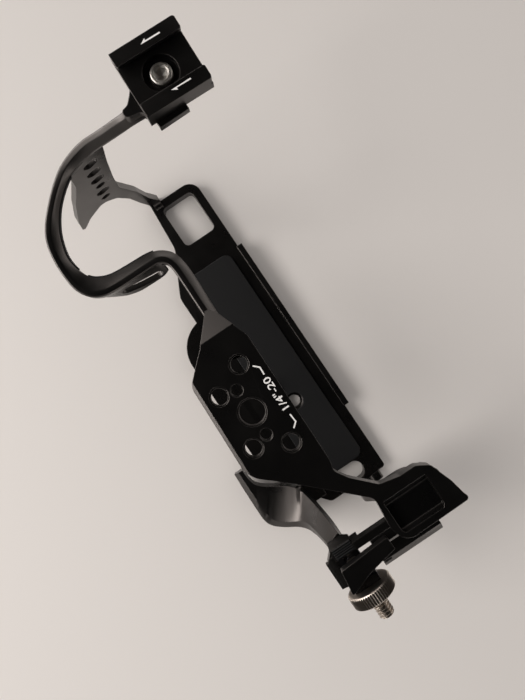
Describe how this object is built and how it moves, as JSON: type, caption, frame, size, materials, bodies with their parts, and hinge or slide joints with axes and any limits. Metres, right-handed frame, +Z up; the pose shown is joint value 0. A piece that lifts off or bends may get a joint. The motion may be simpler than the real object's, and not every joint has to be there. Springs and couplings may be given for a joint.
{
  "type": "camera cage with cable clamp",
  "caption": "Black aluminium camera cage with slotted grip frame, cold shoe, top plate with accessory holes, side wall with rail, and a cable clamp with a knurled thumb screw",
  "frame": {"origin": "on the lens axis line of the camera, at the underside of the base plate", "axes": "+X towards the connector end and the cable clamp, -X towards the grip, -Y towards the lens side, +Z up"},
  "size_m": [0.2047, 0.0764, 0.1135],
  "materials": {
    "black_anodised": "black anodised, fine bead blast",
    "silicone": "matte silicone",
    "bright_steel": "turned stainless steel",
    "nickel_plated": "nickel plated steel",
    "black_steel": "black oxide steel"
  },
  "bodies": {
    "cage": {"base_plate": "black_anodised", "base_pad": "silicone", "grip_screw": "black_steel", "grip_panel": "black_anodised", "grip_arm": "black_anodised", "arm_strip": "silicone", "arm_screw": "black_steel", "top_plate": "black_anodised", "top_pad": "silicone", "corner_screws": "black_steel", "side_wall": "black_anodised", "wall_screw": "black_steel", "side_rail": "black_anodised", "rail_screws": "black_steel", "front_strut": "black_anodised", "strut_screws": "black_steel", "shoe_block": "black_anodised", "shoe_screw": "bright_steel", "clamp_body": "black_anodised", "clamp_pad": "silicone", "clamp_screw": "black_steel"},
    "camera_screw_body": {"camera_screw": "bright_steel", "camera_screw_ring": "bright_steel"},
    "thumb_screw_body": {"thumb_screw": "nickel_plated", "thumb_screw_ring": "black_steel"},
    "jaw_body": {"clamp_jaw": "black_anodised", "jaw_pad": "silicone"}
  },
  "joints": [
    {"name": "camera_screw_turn", "type": "hinge", "parent": "cage", "child": "camera_screw_body", "pos_m": [0, -0.008, 0], "axis": [0, 0, 1], "range_deg": [-1800, 1800]},
    {"name": "thumb_screw_turn", "type": "hinge", "parent": "cage", "child": "thumb_screw_body", "pos_m": [0, -0.0164, 0.062], "axis": [1, 0, 0], "range_deg": [0, 1133.86]},
    {"name": "jaw_slide", "type": "slide", "parent": "cage", "child": "jaw_body", "axis": [-1, 0, 0], "range_m": [0, 0.004]}
  ],
  "couplings": [
    {"joint": "jaw_slide", "follows": "thumb_screw_turn", "m_per_rad": 0.00020213}
  ]
}
